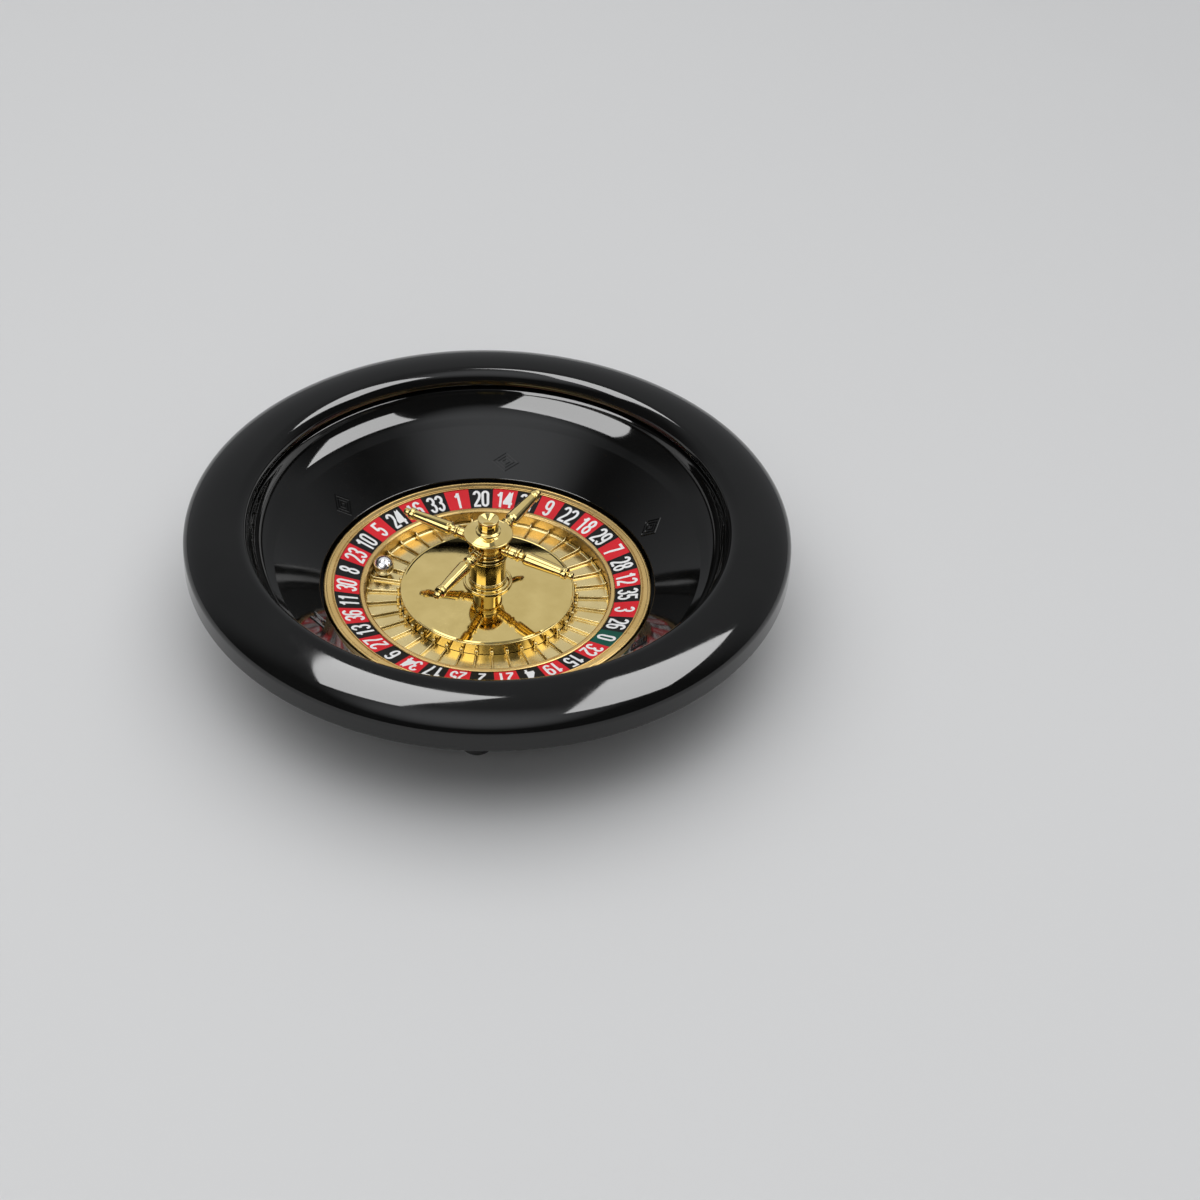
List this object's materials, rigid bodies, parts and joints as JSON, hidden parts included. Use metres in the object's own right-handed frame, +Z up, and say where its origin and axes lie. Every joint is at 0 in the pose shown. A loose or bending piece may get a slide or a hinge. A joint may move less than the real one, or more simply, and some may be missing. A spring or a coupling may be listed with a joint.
{
  "type": "roulette wheel",
  "caption": "Table roulette wheel: black bowl with a rolled rim, and a gold spinning wheel with numbered pockets, an armed turret and a loose ball.",
  "frame": {"origin": "centre of the underside, in the plane of the feet, on the spindle's axis", "axes": "+Z up along the spindle; +X towards a foot; the zero pocket lies 30.74 degrees clockwise from +X, seen from above"},
  "size_m": [0.3, 0.3, 0.0678],
  "materials": {
    "black_plastic": "polished moulded ABS",
    "carrier_plastic": "plain moulded ABS, hidden",
    "satin_gold": "gold plated ABS, satin",
    "mirror_gold": "gold plated ABS, mirror bright",
    "printed_ring": "printed film in red, black and green with white numbers",
    "ball_steel": "polished steel",
    "spindle_steel": "turned, zinc plated",
    "screw_steel": "zinc plated",
    "bush_brass": "turned",
    "nylon": "natural nylon",
    "foot_rubber": "matt moulded rubber"
  },
  "bodies": {
    "bowl": {"bowl_shell": "black_plastic", "rim_ring": "black_plastic", "rim_screw_1": "screw_steel", "rim_screw_2": "screw_steel", "rim_screw_3": "screw_steel", "rim_screw_4": "screw_steel", "rim_screw_5": "screw_steel", "rim_screw_6": "screw_steel", "foot_1": "foot_rubber", "foot_2": "foot_rubber", "foot_3": "foot_rubber", "foot_4": "foot_rubber", "spindle": "spindle_steel", "spindle_washer": "spindle_steel", "spindle_nut": "spindle_steel", "thrust_washer": "nylon"},
    "wheel": {"wheel_base": "carrier_plastic", "number_frame": "satin_gold", "number_ring": "printed_ring", "centre_cone": "mirror_gold", "pocket_ring": "mirror_gold", "lower_bush": "bush_brass", "upper_bush": "bush_brass", "turret_column": "mirror_gold", "turret_hub": "mirror_gold", "turret_plate": "mirror_gold", "turret_cap": "mirror_gold", "turret_arm_1": "mirror_gold", "turret_arm_2": "mirror_gold", "turret_arm_3": "mirror_gold", "turret_arm_4": "mirror_gold"},
    "ball": {"steel_ball": "ball_steel"}
  },
  "joints": [
    {"name": "wheel_spin", "type": "hinge", "parent": "bowl", "child": "wheel", "pos_m": [0, 0, 0.024], "axis": [0, 0, 1], "continuous": true},
    {"name": "ball_lift", "type": "slide", "parent": "wheel", "child": "ball", "axis": [0, 0, 1], "range_m": [0, 0.08]}
  ]
}
